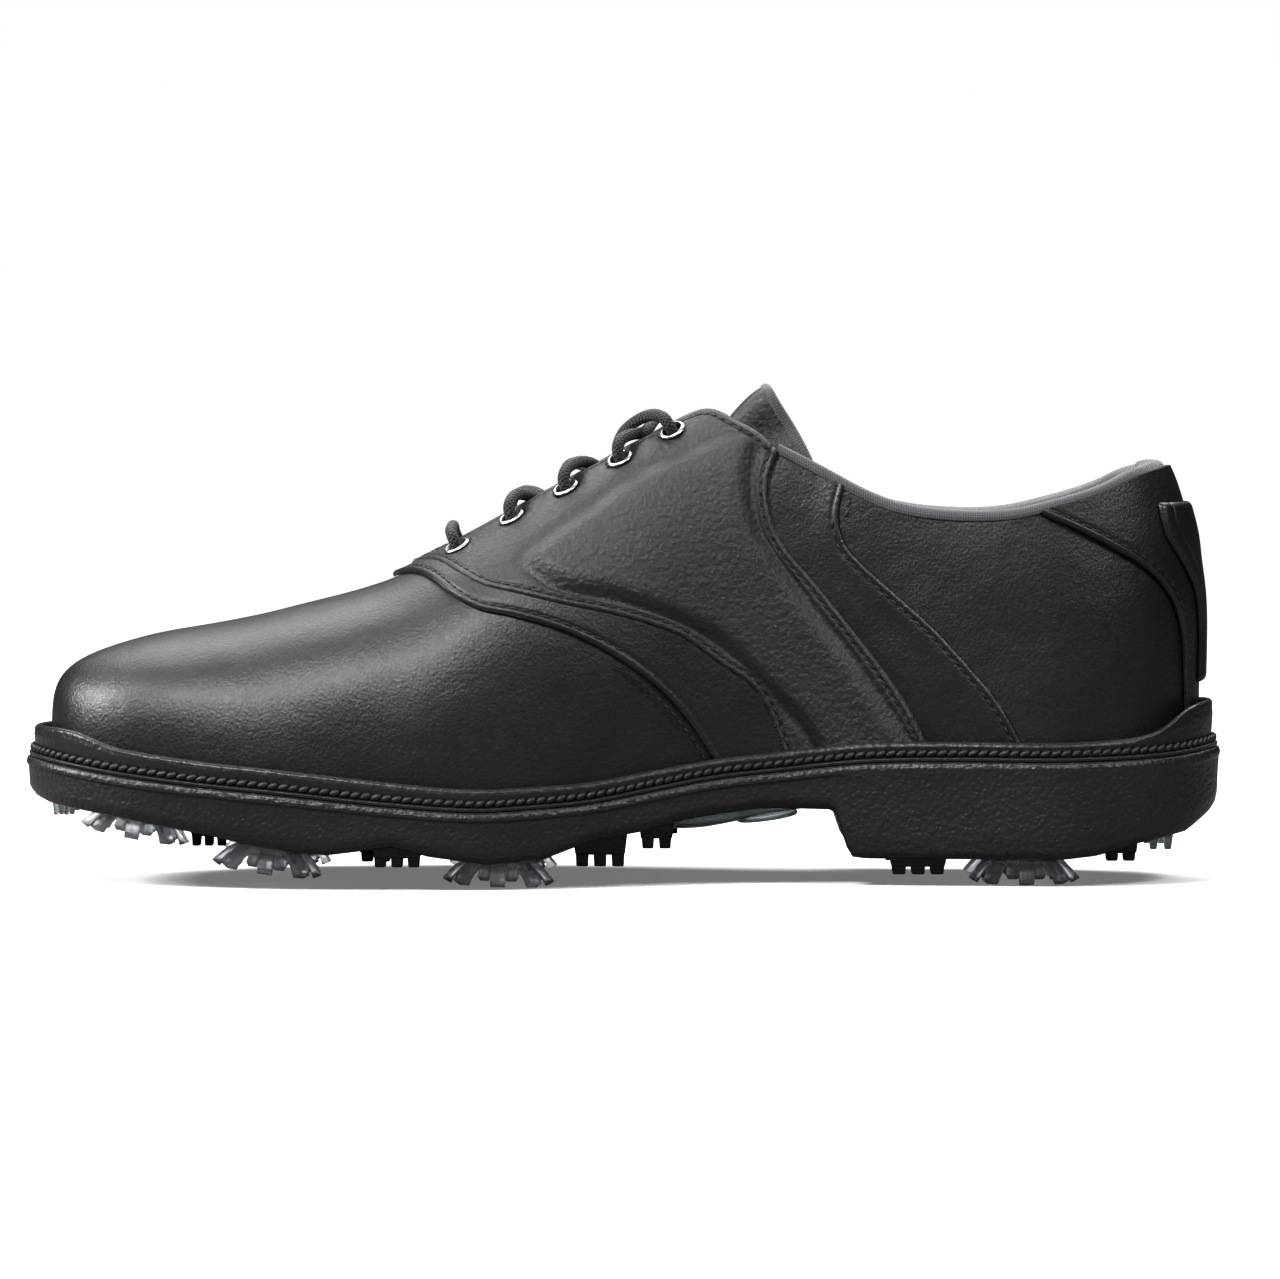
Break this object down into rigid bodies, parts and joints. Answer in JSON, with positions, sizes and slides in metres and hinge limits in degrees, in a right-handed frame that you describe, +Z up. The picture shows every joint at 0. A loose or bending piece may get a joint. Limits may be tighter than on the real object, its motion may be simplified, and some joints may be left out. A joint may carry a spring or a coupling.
{
  "type": "golf shoe",
  "caption": "Right-foot golf shoe with a black leather saddle upper, laced throat, padded collar and a cupped rubber sole on removable translucent cleats.",
  "frame": {"origin": "on the ground, under the middle of the shoe's box", "axes": "+X towards the heel (the toe is at -X), +Y towards the outer side of the foot (the inner side is at -Y), +Z up"},
  "size_m": [0.3, 0.1063, 0.124],
  "materials": {
    "sole_rubber": "satin, finely textured",
    "welt_rubber": "satin, with a leather-like grain",
    "clear_tpu": "glossy, smoky and translucent",
    "cleat_plastic": "glossy, smoky and translucent",
    "receptacle_plastic": "moulded",
    "thread": "waxed twisted thread",
    "foam": "closed-cell foam",
    "shank_steel": "rolled strip",
    "board": "fibre board",
    "sock_fabric": "brushed knit over foam",
    "smooth_leather": "satin, with a fine smooth grain",
    "pebbled_leather": "satin, with a tumbled pebble grain",
    "trim_leather": "satin, with rolled edges",
    "strap_rubber": "satin, moulded",
    "stiffener": "thermoplastic sheet",
    "lining_fabric": "knitted mesh",
    "binding_fabric": "ribbed tape",
    "eyelet_metal": "polished nickel",
    "lace_cord": "round waxed braid",
    "aglet_plastic": "crimped sleeve"
  },
  "bodies": {
    "shoe": {"outsole": "sole_rubber", "arch_insert": "clear_tpu", "toe_grip": "clear_tpu", "heel_grip": "clear_tpu", "welt": "welt_rubber", "welt_stitching": "thread", "midsole": "foam", "shank": "shank_steel", "insole_board": "board", "sock_liner": "sock_fabric", "cleat_receptacles": "receptacle_plastic", "vamp": "smooth_leather", "toe_puff": "stiffener", "vamp_lining": "lining_fabric", "trim_medial": "trim_leather", "trim_lateral": "trim_leather", "saddle_medial": "pebbled_leather", "saddle_lateral": "pebbled_leather", "front_quarter_medial": "smooth_leather", "front_quarter_lateral": "smooth_leather", "rear_quarter_medial": "smooth_leather", "rear_quarter_lateral": "smooth_leather", "heel_panel": "smooth_leather", "back_strap": "strap_rubber", "heel_counter": "stiffener", "backing_medial": "foam", "backing_lateral": "foam", "quarter_lining": "lining_fabric", "collar_padding": "foam", "collar_binding": "binding_fabric", "eyelets": "eyelet_metal", "lace": "lace_cord", "lace_tip_medial": "aglet_plastic", "lace_tip_lateral": "aglet_plastic"},
    "tongue": {"tongue": "pebbled_leather", "tongue_lining": "binding_fabric"},
    "cleat_1": {"cleat_1": "cleat_plastic"},
    "cleat_2": {"cleat_2": "cleat_plastic"},
    "cleat_3": {"cleat_3": "cleat_plastic"},
    "cleat_4": {"cleat_4": "cleat_plastic"},
    "cleat_5": {"cleat_5": "cleat_plastic"},
    "cleat_6": {"cleat_6": "cleat_plastic"},
    "cleat_7": {"cleat_7": "cleat_plastic"}
  },
  "joints": [
    {"name": "tongue_fold", "type": "hinge", "parent": "shoe", "child": "tongue", "pos_m": [-0.05, -0.0027, 0.0725], "axis": [0, 1, 0], "range_deg": [0, 8]},
    {"name": "cleat_1_turn", "type": "hinge", "parent": "shoe", "child": "cleat_1", "pos_m": [-0.122, -0.007, 0.0176], "axis": [-0.1908, 0, -0.9816], "range_deg": [0, 60]},
    {"name": "cleat_2_turn", "type": "hinge", "parent": "shoe", "child": "cleat_2", "pos_m": [-0.088, -0.027, 0.0101], "axis": [-0.1392, 0, -0.9903], "range_deg": [0, 60]},
    {"name": "cleat_3_turn", "type": "hinge", "parent": "shoe", "child": "cleat_3", "pos_m": [-0.088, 0.025, 0.0101], "axis": [-0.1392, 0, -0.9903], "range_deg": [0, 60]},
    {"name": "cleat_4_turn", "type": "hinge", "parent": "shoe", "child": "cleat_4", "pos_m": [-0.031, -0.031, 0.0073], "axis": [-0.0349, 0, -0.9994], "range_deg": [0, 60]},
    {"name": "cleat_5_turn", "type": "hinge", "parent": "shoe", "child": "cleat_5", "pos_m": [-0.031, 0.031, 0.0073], "axis": [-0.0349, 0, -0.9994], "range_deg": [0, 60]},
    {"name": "cleat_6_turn", "type": "hinge", "parent": "shoe", "child": "cleat_6", "pos_m": [0.1, -0.0165, 0.0068], "axis": [0, 0, -1], "range_deg": [0, 60]},
    {"name": "cleat_7_turn", "type": "hinge", "parent": "shoe", "child": "cleat_7", "pos_m": [0.1, 0.0135, 0.0068], "axis": [0, 0, -1], "range_deg": [0, 60]}
  ]
}
